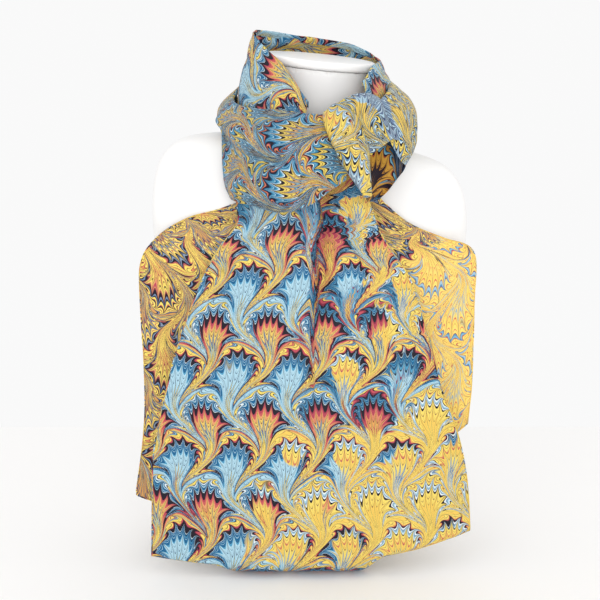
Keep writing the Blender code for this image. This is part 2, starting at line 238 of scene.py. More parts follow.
def marbled_silk(name, plain, bright, deep, depth=0.85):
    """Silk in three palettes: bright where the tone's red is high, deep where its green is."""
    made, shader, value = finish_of(
        name, 0.5, Specular_IOR_Level=0.28, Sheen_Weight=0.03, Sheen_Roughness=0.4
    )
    cloth = value.node("ShaderNodeUVMap", {}, uv_map="cloth")
    along = value.node("ShaderNodeSeparateXYZ", {"Vector": cloth}, out=0) * (1 / MM)
    up = value.node("ShaderNodeSeparateXYZ", {"Vector": cloth}, out=1) * (1 / MM)
    aside = value.node("ShaderNodeTexNoise", {"Vector": cloth, "Scale": 12.0, "Detail": 1.0})
    lift = value.node(
        "ShaderNodeTexNoise", {"Vector": cloth, "Scale": 11.0, "Detail": 1.0, "Distortion": 0.6}
    )
    along = along + (aside - 0.5) * DRIFT
    up = up + (lift - 0.5) * DRIFT
    along, up = dragged(along, up, math.pi, 0.5)
    along, up = dragged(along, up, 0.0, 0.0)
    tooth = off_line(along, COMB_PITCH)
    near = (tooth * (-1 / COMB_REACH)).of("EXPONENT")
    next_one = ((tooth - COMB_PITCH) * (1 / COMB_REACH)).of("EXPONENT")
    up = up - (near + next_one) * COMB_DRAG
    before = value.node("ShaderNodeCombineXYZ", {"X": along * MM, "Y": up * MM})
    drops = value.node("ShaderNodeTexNoise", {"Vector": before, "Scale": 70.0, "Detail": 1.0})
    pools = value.node("ShaderNodeTexNoise", {"Vector": before, "Scale": 22.0, "Detail": 1.0})
    stripe = up * (1 / FAN_ROWS) + (drops - 0.5) * DROP_SPREAD
    falling = stripe.of("FRACT").of("GREATER_THAN", 0.5)
    band = (stripe * 2.0).of("PINGPONG", 1.0)
    tone = value.node("ShaderNodeAttribute", {}, attribute_name="tone")
    colours = []
    for rise, fall in (plain, bright, deep):
        colours.append(mixed(falling, band.ramp(rise), band.ramp(fall)))
    colour = colours[0]
    for other, channel in ((colours[1], 0), (colours[2], 1)):
        share = value.node("ShaderNodeSeparateColor", {"Color": tone}, out=channel)
        pool = (pools - POOL_FLOOR) * POOL_GAIN
        colour = mixed(((share - pool) * POOL_EDGE + 0.5).clamped(), colour, other)
    ray = off_line(along, COMB_PITCH / 2)
    heart = (band - CROWN_MIDDLE).of("ABSOLUTE").of("GREATER_THAN", CROWN_HALF)
    vein = (ray * (-1 / VEIN_WIDTH) + 1.0).clamped() * heart * VEIN_STRENGTH
    dye = mixed(band.of("GREATER_THAN", COOL_FROM), paint(WARM_VEIN), paint(COOL_VEIN))
    spike = (tooth * (-1 / SPIKE_WIDTH) + 1.0).clamped() * SPIKE_STRENGTH
    lined = mixed(spike, mixed(vein, colour, dye), paint(SPIKE_DYE))
    dyed = value.node("ShaderNodeHueSaturation", {"Value": depth, "Color": lined})
    value.tree.links.new(dyed.socket, shader.inputs["Base Color"])
    place = value.node("ShaderNodeTexCoord", {}, out=3)
    slub = value.node("ShaderNodeTexNoise", {"Vector": place, "Scale": 60.0, "Detail": 3.0})
    weave = value.node(
        "ShaderNodeTexWave",
        {"Vector": cloth, "Scale": 450.0, "Distortion": 0.4, "Detail": 1.0},
        bands_direction="DIAGONAL",
        out=1,
    )
    ripple = value.node("ShaderNodeBump", {"Height": slub, "Strength": 0.25, "Distance": 0.002})
    twill = value.node(
        "ShaderNodeBump",
        {"Height": weave, "Strength": 0.12, "Distance": 0.0001, "Normal": ripple},
    )
    value.tree.links.new(twill.socket, shader.inputs["Normal"])
    return made


# The under tail is the end that hangs behind: the scarf's full width, spread over the bust. It
# shows at both sides of the front tail.

# Across it: the left edge, the right edge, how far forward its middle lies, and its sag.
UNDER_TAIL = (
    (-30, -60, 440, 66, -60, 440, -62, 0),
    (-72, -60, 408, 80, -60, 410, -64, 0),
    (-128, -56, 388, 110, -60, 384, -72, 0),
    (-163, -50, 364, 146, -56, 368, -80, 0),
    (-180, -44, 333, 181, -46, 350, -84, 0),
    (-181, -42, 280, 184, -44, 300, -86, 0),
    (-179, -44, 220, 184, -46, 250, -88, 0),
    (-180, -54, 150, 183, -52, 200, -88, 20),
    (-189, -74, 79, 179, -60, 158, -88, 50),
)


def between(rows, count):
    """COUNT rows on the smooth curve through ROWS."""
    rows = np.asarray(rows, float)
    ends = np.concatenate([[2 * rows[0] - rows[1]], rows, [2 * rows[-1] - rows[-2]]])
    place = np.linspace(0, len(rows) - 1, count)
    first = np.minimum(place.astype(int), len(rows) - 2)
    t = (place - first).reshape(-1, *[1] * (rows.ndim - 1))
    before, start, end, after = (ends[first + step] for step in range(4))
    bend = 2 * before - 5 * start + 4 * end - after
    turn = 3 * start - before - 3 * end + after
    return start + 0.5 * ((end - before) * t + bend * t * t + turn * t**3)


def outward(points):
    """The unit normals of a sheet whose rows run down it and columns to the right."""
    facing = np.cross(np.gradient(points, axis=0), np.gradient(points, axis=1))
    return facing / np.maximum(np.linalg.norm(facing, axis=2, keepdims=True), 1e-9)


Crease = namedtuple("Crease", "across down to_across to_down depth to_depth left right")
CREASE_STEPS = 50
CREASE_BOW = 0.015


def creased(points, creases, ripple=0.5, seed=0.0):
    """The sheet with soft troughs pressed in along lines over it. A depth below 0 is a ridge."""
    rows, columns = points.shape[:2]
    normal = outward(points)
    rightward = np.gradient(points, axis=1)
    share = np.linspace(0, 1, CREASE_STEPS)
    ends = np.clip(np.minimum(share, 1 - share) * 8 + 0.35, 0, 1)
    pressed = np.zeros((rows, columns))
    for number, crease in enumerate(creases):
        bow = CREASE_BOW * np.sin(share * math.pi * 2 + number * 1.7 + seed)
        across = crease.across + (crease.to_across - crease.across) * share + bow
        down = crease.down + (crease.to_down - crease.down) * share
        column = np.clip(across, 0, 1) * (columns - 1)
        row = np.clip(down, 0, 1) * (rows - 1)
        line = points[row.round().astype(int), column.round().astype(int)]
        gap = points[:, :, None] - line[None, None]
        far = np.linalg.norm(gap, axis=3)
        near = far.argmin(axis=2)
        far = far.min(axis=2)
        side = (np.take_along_axis(gap, near[..., None, None], 2)[:, :, 0] * rightward).sum(axis=2)
        width = np.where(side < 0, crease.left, crease.right)
        steps = range(CREASE_STEPS)
        uneven = np.array([noise.noise((step * 0.09, number * 5.3, seed)) for step in steps])
        depth = crease.depth + (crease.to_depth - crease.depth) * share
        depth = depth * (1 + 0.5 * uneven) * ends
        pressed += depth[near] * np.exp(-((far / width) ** 2))
    for row in range(rows):
        for column in range(columns):
            x, y, z = points[row, column]
            pressed[row, column] += ripple * noise.noise((x / 22, y / 22 + seed, z / 30))
    return points - normal * pressed[..., None]


# Places on the cloth are in millimetres, with z from the table's top. The neck's axis stands
# at x = NECK_X, y = 0.
NECK_X = 15.0
low, high = (Vector(corner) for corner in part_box("neck_cap"))
STAND = np.array([(low.x + high.x) / 2 - NECK_X * MM, (low.y + high.y) / 2, 0.0])

# A place on the cloth, seen from the front, where its palette turns to the bright or deep one.
Patch = namedtuple("Patch", "x z radius bright deep")
SILK_WALL = 0.6


def silk_sheet(name, node, points, finish, crown, at, turn, tone=(0.0, 0.0), patches=()):
    """Cloth through a grid of points, its pattern's crown at a place on it, opening by a turn."""
    rows, columns = points.shape[:2]
    across = np.linalg.norm(np.diff(points, axis=1), axis=2).cumsum(axis=1)
    across = np.hstack([np.zeros((rows, 1)), across])
    down = np.linalg.norm(np.diff(points, axis=0), axis=2).cumsum(axis=0)
    down = np.vstack([np.zeros((1, columns)), down])
    nearest = np.linalg.norm(points - np.array(at), axis=2).argmin()
    row, column = divmod(int(nearest), columns)
    right = across - across[:, column : column + 1]
    up = down[row : row + 1] - down
    cosine, sine = math.cos(math.radians(turn)), math.sin(math.radians(turn))
    flat = np.stack([right * cosine + up * sine, up * cosine - right * sine], axis=-1) + crown
    shades = np.zeros((rows, columns, 4)) + (*tone, 0.0, 1.0)
    for patch in patches:
        far = np.hypot(points[..., 0] - patch.x, points[..., 2] - patch.z) / patch.radius
        weight = np.exp(-(far**2))[..., None]
        shades[..., :2] = shades[..., :2] * (1 - weight) + weight * (patch.bright, patch.deep)
    numbers = np.arange(rows * columns).reshape(rows, columns)
    corners = (numbers[:-1, :-1], numbers[1:, :-1], numbers[1:, 1:], numbers[:-1, 1:])
    faces = np.stack(corners, axis=-1).reshape(-1, 4)
    mesh = bpy.data.meshes.new(name)
    mesh.from_pydata((points * MM + STAND).reshape(-1, 3).tolist(), [], faces.tolist())
    cloth = mesh.uv_layers.new(name="cloth")
    cloth.data.foreach_set("uv", (flat * MM).reshape(-1, 2)[faces.ravel()].ravel())
    mesh.attributes.new("tone", "FLOAT_COLOR", "POINT").data.foreach_set("color", shades.ravel())
    piece = bpy.data.objects.new(name, mesh)
    bpy.context.scene.collection.objects.link(piece)
    piece.data.materials.append(finish)
    bpy.ops.object.select_all(action="DESELECT")
    bpy.context.view_layer.objects.active = piece
    piece.select_set(True)
    wall = piece.modifiers.new("wall", "SOLIDIFY")
    wall.thickness = SILK_WALL * MM
    wall.offset = -1
    bpy.ops.object.modifier_apply(modifier="wall")
    bpy.ops.object.shade_smooth_by_angle(angle=math.radians(70))
    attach(piece, "root")
    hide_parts(node)
    return piece


def in_front_of(points, pieces, gap=0.9, only_before=0.0, blur=2):
    """The sheet with each point that would lie behind the pieces brought in front of them."""
    scene = bpy.context.evaluated_depsgraph_get()
    trees = [BVHTree.FromObject(piece, scene) for piece in pieces]
    moved = np.zeros(points.shape[:2])
    for row in range(points.shape[0]):
        for column in range(points.shape[1]):
            x, y, z = points[row, column] * MM + STAND
            for tree in trees:
                hit = tree.ray_cast(Vector((x, -1.0, z)), Vector((0.0, 1.0, 0.0)))[0]
                if hit is not None and y < only_before * MM:
                    moved[row, column] = min(moved[row, column], (hit.y - y) / MM - gap)
    for _ in range(blur):
        wide = np.pad(moved, 1, mode="edge")
        moved = np.minimum(
            moved,
            (wide[:-2, 1:-1] + wide[2:, 1:-1] + wide[1:-1, :-2] + wide[1:-1, 2:]) / 4,
        )
    return points + moved[..., None] * (0.0, 1.0, 0.0)


def tail_points(sections, rows, columns):
    """A tail, flat across its middle and curving back at its edges."""
    read = between(sections, rows)[:, None, :]
    share = np.linspace(0, 1, columns)[None, :]
    bow = abs(2 * share - 1)
    edge = np.where(share < 0.5, read[..., 1], read[..., 4])
    x = read[..., 0] + (read[..., 3] - read[..., 0]) * share
    y = read[..., 6] + (edge - read[..., 6]) * bow**3
    z = read[..., 2] + (read[..., 5] - read[..., 2]) * share - read[..., 7] * (1 - bow**2)
    return np.stack([x, y, z], axis=-1)


HEM_RADIUS = 0.7
HEM_FIRST_ROW = 20


def hem_roll(name, node, points, finish, patches):
    """The narrow rolled hem down a tail's two sides, from under the knot, and along its end."""
    left, end, right = points[HEM_FIRST_ROW:, 0], points[-1, 1:-1], points[HEM_FIRST_ROW:, -1]
    path = np.concatenate([left, end, right[::-1]])[::2]
    onward = np.gradient(path, axis=0)
    ahead = np.array([0.0, -1.0, 0.0])
    aside = np.cross(onward, ahead)
    aside /= np.linalg.norm(aside, axis=1, keepdims=True)
    turn = np.linspace(0, 2 * math.pi, 9)[None, :, None]
    roll = path[:, None] + HEM_RADIUS * (aside[:, None] * np.cos(turn) + ahead * np.sin(turn))
    return silk_sheet(name, node, roll, finish, WARM_CROWN, roll[0, 0], 0, patches=patches)


# Each palette has two rows of colours as they were dropped, with the share of the way at which
# each starts: from a warm heart on to the cool one beyond its crown, and from the next warm
# heart back to that cool one.
DULL_BANDS = (
    (
        (0, "D98A5A"), (0.03, CLARET), (0.05, YELLOW), (0.1, SEPIA), (0.12, YELLOW),
        (0.19, BLACK), (0.225, YELLOW), (0.27, "D9946A"), (0.31, CLARET), (0.35, BLACK),
        (0.43, GREY), (0.48, BLACK), (0.53, YELLOW), (0.59, "C8705A"), (0.62, BLACK),
        (0.675, YELLOW), (0.74, CLARET), (0.77, YELLOW), (0.83, CLARET), (0.86, GREY),
        (0.9, BLACK), (0.935, "D9A058"),
    ),
    (
        (0, "D98A5A"), (0.03, CLARET), (0.05, YELLOW), (0.13, SEPIA), (0.15, YELLOW),
        (0.22, "D9A058"), (0.26, "B0505A"), (0.31, BLACK), (0.4, "8496AE"), (0.45, "4A5570"),
        (0.5, BLACK), (0.545, YELLOW), (0.6, "B0505A"), (0.63, YELLOW), (0.69, CLARET),
        (0.71, GREY), (0.76, BLACK), (0.8, YELLOW), (0.86, CLARET), (0.89, "4A5570"),
        (0.935, "D9A058"),
    ),
)
PALE_YELLOW_BANDS = (
    (
        (0, MAIZE), (0.06, CORAL), (0.08, STRAW), (0.16, OCHRE), (0.18, HONEY), (0.26, CORAL),
        (0.29, STRAW), (0.37, PLUM), (0.395, "9FC3D8"), (0.47, "4F8CB8"), (0.51, PLUM),
        (0.53, STRAW), (0.62, CORAL), (0.645, STRAW), (0.74, OCHRE), (0.76, STRAW),
        (0.85, "C05A58"), (0.88, HONEY), (0.95, "9FB4C0"),
    ),
    (
        (0, MAIZE), (0.05, "C05A58"), (0.075, HONEY), (0.15, OCHRE), (0.17, STRAW), (0.26, CORAL),
        (0.29, PLUM), (0.31, "7FB4D0"), (0.37, "4F8CB8"), (0.4, PLUM), (0.42, STRAW),
        (0.5, CORAL), (0.525, MAIZE), (0.64, OCHRE), (0.66, HONEY), (0.76, CORAL), (0.79, MAIZE),
        (0.88, "9FB4C0"), (0.93, MAIZE),
    ),
)
RED_BANDS = (
    (
        (0, "C04A5A"), (0.03, AMBER), (0.09, BLACK), (0.11, "E08A6A"), (0.2, ROSE), (0.3, WINE),
        (0.33, BLACK), (0.46, PALE), (0.475, NAVY), (0.52, PALE), (0.535, BLUE), (0.59, PALE),
        (0.605, NAVY), (0.65, BLACK), (0.72, WINE), (0.78, "C8505C"), (0.85, BLACK),
        (0.88, YELLOW), (0.94, GREY),
    ),
    (
        (0, APRICOT), (0.03, BLACK), (0.05, YELLOW), (0.12, WINE), (0.14, YELLOW),
        (0.2, "C8505C"), (0.27, WINE), (0.3, BLACK), (0.45, PEARL), (0.465, NAVY), (0.53, AZURE),
        (0.55, BLUE), (0.61, PALE), (0.625, NAVY), (0.7, AZURE), (0.76, BLACK), (0.79, PALE),
        (0.86, WINE), (0.9, AZURE),
    ),
)
dull_silk = marbled_silk("silk_twill_under", DULL_BANDS, PALE_YELLOW_BANDS, RED_BANDS, 0.98)

under_creases = (
    Crease(0.16, 0.1, 0.07, 1.0, 4, 5, 14, 16),
    Crease(0.86, 0.1, 0.95, 1.0, 4, 4, 16, 14),
    Crease(0.24, 0.3, 0.2, 1.0, -2, -3, 10, 12),
    Crease(0.74, 0.25, 0.8, 1.0, -2, -3, 12, 10),
    Crease(0.5, 0.2, 0.48, 0.9, 2, 2, 16, 16),
)
under = creased(tail_points(UNDER_TAIL, 140, 150), under_creases, 0.8, 3.0)
under = in_front_of(under, [bust])
# The tail's right side turns to the paler palette.
under_patches = (Patch(175, 300, 70, 1.4, 0.0), Patch(175, 190, 70, 1.3, 0.0))
under_tail = silk_sheet(
    "under_tail_cloth",
    "under_tail",
    under,
    dull_silk,
    WARM_CROWN,
    (133.7, -60, 310.6),
    180,
    patches=under_patches,
)
hem_roll("under_tail_hem", "under_tail", under, dull_silk, under_patches)


# The front tail is the end that hangs over it, pleated where it leaves the knot and spread to
# the scarf's full width at its hem, whose middle curls under on to the table.

FRONT_TAIL = (
    (-30, -82, 452, 52, -92, 452, -88, 0),
    (-71, -76, 418, 63, -92, 424, -98, 0),
    (-72, -84, 390, 72, -92, 392, -101, 0),
    (-93, -90, 361, 84, -92, 369, -102, 0),
    (-110, -94, 328, 108, -92, 333, -103, 0),
    (-124, -97, 294, 122, -92, 296, -104, 0),
    (-136, -100, 260, 132, -92, 262, -105, 0),
    (-148, -102, 215, 143, -92, 216, -107, 0),
    (-158, -104, 175, 158, -92, 178, -109, 0),
    (-165, -106, 135, 170, -92, 138, -112, 0),
    (-167, -108, 85, 177, -92, 98, -117, 6),
    (-169, -110, 24, 181, -92, 49, -122, 17),
)

# The curl takes in the middle of the hem: where it starts and ends across it, over what share it
# eases in, and how much of it is left outside.
CURL_FROM, CURL_TO, CURL_EASE, CURL_LEAST = 0.18, 0.74, 0.09, 0.12


def smooth_step(value):
    value = np.clip(value, 0.0, 1.0)
    return value * value * (3 - 2 * value)


def curled_under(points, depth=24.0, steps=8, rest=1.6):
    """The tail with its last stretch curled back on to the table along the middle of its hem."""
    hem = points[-1]
    share = np.linspace(0, 1, len(hem))
    inside = np.minimum(share - CURL_FROM, CURL_TO - share) / CURL_EASE
    reach = CURL_LEAST + (1 - CURL_LEAST) * smooth_step(inside)
    added = []
    for turn in np.linspace(0, math.pi / 2, steps + 1)[1:]:
        back = depth * (1 - math.cos(turn)) * reach
        fall = (hem[:, 2] - rest) * math.sin(turn) * reach
        added.append(hem + np.stack([hem[:, 0] * 0, back, -fall], axis=-1))
    return np.concatenate([points, added])


BLUE_BANDS = (
    (
        (0, GREY), (0.012, CLARET), (0.03, "F6D46C"), (0.1, "6A3A3C"), (0.12, "F6D46C"),
        (0.165, CLARET), (0.18, "F0A870"), (0.235, "D0625E"), (0.29, ROSE), (0.335, BLACK),
        (0.49, FROST), (0.505, BLUE), (0.54, ICE), (0.555, BLUE), (0.615, NAVY), (0.635, ICE),
        (0.665, BLUE), (0.705, FROST), (0.75, BLACK), (0.785, YELLOW), (0.86, BLACK),
        (0.885, SKY), (0.94, SLATE), (0.965, ICE),
    ),
    (
        (0, GREY), (0.012, BLACK), (0.03, PALE), (0.062, "3C78A0"), (0.072, BLACK),
        (0.09, YELLOW), (0.205, BLACK), (0.222, YELLOW), (0.262, AMBER), (0.285, ROSE),
        (0.325, BLACK), (0.455, FROST), (0.468, BLUE), (0.51, ICE), (0.523, BLUE), (0.58, ICE),
        (0.593, BLUE), (0.655, NAVY), (0.67, AZURE), (0.72, ICE), (0.8, STEEL), (0.815, ICE),
        (0.9, DUSK), (0.918, ICE),
    ),
)
YELLOW_BANDS = (
    (
        (0, GOLD), (0.11, BARK), (0.125, YELLOW), (0.23, UMBER), (0.245, YELLOW), (0.345, BLACK),
        (0.4, SNOW), (0.435, "7FA0BC"), (0.48, SKY), (0.515, SNOW), (0.545, BLACK),
        (0.58, YELLOW), (0.65, APRICOT), (0.67, BARK), (0.685, YELLOW), (0.75, UMBER),
        (0.765, YELLOW), (0.83, BLACK), (0.87, FROST), (0.915, "7FA0BC"), (0.96, GREY),
    ),
    (
        (0, GOLD), (0.055, BARK), (0.07, YELLOW), (0.15, UMBER), (0.165, YELLOW), (0.23, AMBER),
        (0.27, ROSE), (0.295, BLACK), (0.35, SNOW), (0.385, "7FA0BC"), (0.43, SKY), (0.465, SNOW),
        (0.49, BLACK), (0.525, YELLOW), (0.59, BARK), (0.605, YELLOW), (0.69, APRICOT),
        (0.72, ROSE), (0.74, GOLD), (0.85, UMBER), (0.87, YELLOW),
    ),
)
silk = marbled_silk("silk_twill", BLUE_BANDS, YELLOW_BANDS, RED_BANDS)

front_creases = (
    Crease(0.64, 0.0, 0.52, 0.7, 17, 3, 3.2, 13),
    Crease(0.33, 0.02, 0.26, 1.0, 3, 2.5, 10, 14),
    Crease(0.12, 0.0, 0.08, 1.0, 6, 2, 8, 9),
    Crease(0.84, 0.0, 0.72, 1.0, 3, 3, 9, 12),
    Crease(0.40, 0.0, 0.38, 0.4, 4, 0.5, 5, 8),
    Crease(0.76, 0.0, 0.86, 0.5, 6, 1, 4, 9),
    Crease(0.60, 0.5, 0.62, 1.0, -2, -3, 14, 16),
    Crease(0.18, 0.4, 0.17, 1.0, -1.5, -2, 12, 14),
    Crease(0.93, 0.45, 0.9, 1.0, 2, 2, 10, 10),
)
front = tail_points(FRONT_TAIL, 150, 130)
front = curled_under(creased(front, front_creases, 0.8, 7.0))
front = in_front_of(front, [under_tail, bust])
front_patches = (
    Patch(125, 60, 120, 1.2, 0.0),
    Patch(110, 180, 60, 1.0, 0.0),
    Patch(92, 300, 38, 1.05, 0.0),
    Patch(45, 300, 32, 0.0, 1.2),
    Patch(75, 195, 30, 0.0, 1.1),
    Patch(122, 235, 22, 0.0, 1.0),
    Patch(41, 396, 24, 1.1, 0.0),
    Patch(20, 385, 30, 0.0, 1.0),
    Patch(-150, 60, 60, 0.0, 0.5),
    Patch(-5, 262, 30, 0.0, 0.62),
    Patch(8, 190, 34, 0.0, 0.6),
    Patch(0, 25, 55, 0.75, 0.0),
    Patch(40, 403, 23, 1.6, 0.0),
    Patch(41, 389, 9, 0.0, 1.6),
    Patch(78, 322, 17, 1.2, 0.0),
    Patch(44, 232, 19, 1.4, 0.0),
    Patch(44, 150, 19, 1.4, 0.0),
    Patch(-16, 150, 17, 1.4, 0.0),
    # Painted shade: the pleat's dark fold, and the dark strip along the hem where it curls under,
    # in the deep palette.
    *[Patch(24 - step / 2, 445 - 10 * step, 10, 0.0, 1.4) for step in range(15)],
    *[Patch(x, 1, 9, 0.0, 1.4) for x in range(-90, 70, 10)],
    # Painted shade: the dark places under the wrap's lower edge.
    Patch(-64, 402, 12, 0.0, 1.6),
    Patch(47, 432, 13, 0.0, 1.5),
)
front_tail = silk_sheet(
    "front_tail_cloth",
    "front_tail",
    front,
    silk,
    WARM_CROWN,
    (-47.9, -107, 200.6),
    0,
    patches=front_patches,
)
hem_roll("front_tail_hem", "front_tail", front, silk, front_patches)


# The back band is the doubled silk round the back of the neck. It lies loose on the bust's
# shoulders in soft folds, with its top edge turned over.

# Round the neck: a bearing from the front, then five distances from the neck and heights.
BACK_BAND = (
    (248, 66, 552, 77, 532, 88, 508, 104, 482, 94, 461),
    (225, 70, 558, 79, 533, 88, 508, 103, 484, 95, 461),
    (202, 74, 564, 83, 538, 88, 513, 99, 489, 90, 463),
    (180, 75, 568, 84, 543, 88, 518, 97, 494, 88, 467),
    (158, 75, 572, 84, 548, 88, 522, 99, 498, 90, 471),
    (135, 75, 577, 84, 552, 87, 526, 102, 500, 95, 475),
    (112, 75.5, 580, 84, 556, 87.5, 530, 102, 500, 93.5, 478),
    (103, 73, 577, 79, 556, 84.5, 530, 92, 503, 91, 480),
)


def rolled(points, radius=1.4, lap=6.0, bottom=False):
    """The sheet with its top edge, or its bottom one, turned over inwards and lapped back."""
    normal = outward(points)
    edge, next_row, inward = points[0], points[2], -normal[0]
    if bottom:
        edge, next_row, inward = points[-1], points[-3], -normal[-1]
    onward = edge - next_row
    onward /= np.maximum(np.linalg.norm(onward, axis=1, keepdims=True), 1e-9)
    added = []
    for angle in np.linspace(0, math.pi, 7)[1:]:
        added.append(edge + radius * (onward * math.sin(angle) + inward * (1 - math.cos(angle))))
    for step in np.linspace(0, lap, 4)[1:]:
        added.append(edge + inward * 2 * radius - onward * step)
    if bottom:
        return np.concatenate([points, added])
    return np.concatenate([added[::-1], points])


def ring_points(sections, rows, columns):
    """Cloth round the neck, from its top edge down."""
    read = between(sections, columns)
    bearing = np.radians(read[:, 0])
    profile = between(read[:, 1:].reshape(columns, 5, 2).transpose(1, 0, 2), rows)
    x = NECK_X - profile[..., 0] * np.sin(bearing)
    y = -profile[..., 0] * np.cos(bearing)
    return np.stack([x, y, profile[..., 1]], axis=-1)


# Its pattern starts most of a row of fans further along the scarf than the crown's own row.
BAND_SHIFT = 76.0
back_creases = (
    Crease(0.02, 0.3, 0.45, 0.42, 5, 3, 6, 9),
    Crease(0.3, 0.62, 0.9, 0.5, 6, 3, 7, 8),
    Crease(0.5, 0.25, 0.9, 0.3, 3, 3, 5, 7),
    Crease(0.05, 0.75, 0.6, 0.85, 4, 2, 6, 6),
    Crease(0.1, 0.52, 0.5, 0.6, -3, -2, 7, 7),
    Crease(0.62, 0.8, 0.95, 0.72, 3, 3, 5, 6),
)
back = creased(rolled(ring_points(BACK_BAND, 42, 96)), back_creases, 0.6, 11.0)
back_band = silk_sheet(
    "back_band_cloth",
    "neck_back_band",
    back,
    silk,
    (WARM_CROWN[0], WARM_CROWN[1] + BAND_SHIFT),
    (-58.2, 29.6, 566.0),
    90,
)


# The left collar is the loop's upper part: the same silk, which comes down from the left side
# to the throat and is tucked in behind the cross wrap.

LEFT_COLLAR = (
    (112, 76, 580, 79, 566, 84, 549, 88, 532, 90, 515),
    (90, 73, 578, 78, 559, 84, 539, 88, 520, 89, 502),
    (70, 69, 572, 77, 555, 84, 536, 89, 520, 92, 503),
    (50, 67, 560, 76, 546, 84, 531, 90, 516, 93, 501),
    (34, 70, 550, 78, 539, 85, 527, 91, 514, 95, 501),
    (20, 78, 534, 84, 526, 88, 518, 92, 510, 96, 501),
    (9, 93, 516, 94, 512, 95, 508, 97, 504, 98, 500),
)
left_creases = (
    Crease(0.05, 0.5, 0.75, 0.45, 2.5, 1, 6, 6),
    Crease(0.0, 0.25, 0.5, 0.2, 1.5, 1, 5, 5),
)
left = creased(rolled(ring_points(LEFT_COLLAR, 34, 60)), left_creases, 0.5, 2.0)
left_collar = silk_sheet(
    "left_collar_cloth", "left_collar", left, silk, WARM_CROWN, (-42.9, -40, 553.9), 90
)


# The right collar is the loop's upper edge at the right: a narrow strip of the silk, which is
# tucked into the knot.

RIGHT_COLLAR = (
    (-33, 80, 534, 83, 528, 86, 520, 89, 512, 92, 503),
    (-52, 69, 547, 73, 540, 77, 530, 82, 520, 86, 509),
    (-70, 66, 549, 70, 541, 74, 532, 78, 524, 82, 514),
    (-90, 65, 550, 69, 543, 73, 535, 77, 527, 80, 518),
    (-112, 66, 552, 71, 543, 76, 535, 80, 527, 83, 518),
)
right_creases = (Crease(0.1, 0.6, 0.9, 0.55, 1.2, 1.2, 4, 4),)
right = ring_points(RIGHT_COLLAR[::-1], 26, 50)[:, ::-1]
right = creased(rolled(right, 1.0, 4.0), right_creases, 0.4, 5.0)
right_collar = silk_sheet(
    "right_collar_cloth", "right_collar", right, silk, WARM_CROWN, (72, -60, 535), 20
)


# The cross wrap is the loop's lower part: it crosses the front from the left side into the knot
# in two soft rolls, and hangs free of the neck under them.

CROSS_WRAP = (
    (112, 91, 523, 98, 513, 99, 502, 103, 491, 94, 478),
    (90, 95, 513, 109, 503, 104, 491, 109, 483, 99, 474),
    (72, 98, 509, 116, 495, 107, 481, 111, 475, 105, 468),
    (58, 100, 508, 128, 493, 111, 468, 121, 438, 115, 419),
    (46, 102, 508, 136, 491, 119, 463, 132, 432, 124, 413),
    (32, 104, 508, 144, 487, 132, 457, 144, 432, 130, 412),
    (19, 107, 508, 147, 483, 142, 456, 146, 431, 130, 408),
    (7, 110, 506, 143, 482, 144, 459, 141, 437, 129, 415),
    (-4, 112, 504, 132, 486, 134, 467, 132, 449, 126, 431),
    (-12, 112, 498, 126, 484, 128, 470, 127, 456, 122, 441),
)
WRAP_BANDS = (
    (
        (0, SLATE), (0.03, PALE), (0.065, BLACK), (0.085, AMBER), (0.13, BLACK), (0.16, YELLOW),
        (0.21, SEPIA), (0.225, YELLOW), (0.26, BLACK), (0.33, SNOW), (0.355, PALE),
        (0.39, LAGOON), (0.44, BLUE), (0.48, SKY), (0.5, LAGOON), (0.55, NAVY), (0.58, BLACK),
        (0.65, ROSE), (0.67, APRICOT), (0.7, BLACK), (0.735, LAGOON), (0.79, MIST), (0.82, BLUE),
        (0.845, BLACK), (0.885, YELLOW), (0.915, BLACK), (0.95, GREY),
    ),
    (
        (0, GREY), (0.02, SKY), (0.04, SLATE), (0.06, APRICOT), (0.08, YELLOW), (0.14, BLACK),
        (0.17, AMBER), (0.22, ROSE), (0.25, BLACK), (0.32, SNOW), (0.345, LAGOON), (0.4, PALE),
        (0.42, LAGOON), (0.475, BLACK), (0.53, YELLOW), (0.58, SEPIA), (0.595, YELLOW),
        (0.645, BLACK), (0.71, MIST), (0.735, LAGOON), (0.79, SLATE), (0.82, MIST),
        (0.84, LAGOON), (0.88, SLATE), (0.91, PALE), (0.945, BLACK),
    ),
)
wrap_silk = marbled_silk("silk_twill_wrap", WRAP_BANDS, YELLOW_BANDS, RED_BANDS, 0.8)
wrap_creases = (
    Crease(0.45, 0.5, 0.98, 0.45, 3, 3, 7, 7),
    Crease(0.1, 0.35, 0.5, 0.42, 2, 1.5, 6, 6),
    Crease(0.55, 0.2, 0.98, 0.25, 1.5, 2, 6, 6),
    Crease(0.5, 0.72, 0.95, 0.65, 2, 2, 7, 7),
)
wrap = rolled(ring_points(CROSS_WRAP, 80, 120), 2.4, 5.0)
wrap = rolled(wrap, 2.0, 6.0, bottom=True)
wrap = creased(wrap, wrap_creases, 0.7, 9.0)
wrap = in_front_of(wrap, [front_tail], only_before=-40.0)
cross_wrap = silk_sheet(
    "cross_wrap_cloth", "cross_wrap", wrap, wrap_silk, WARM_CROWN, (-37.7, -130, 502.6), 90
)


# The right puff is the folded end's right lobe: silk that puffs out where the tails pull
# through the fold, and goes back round the neck to the band.

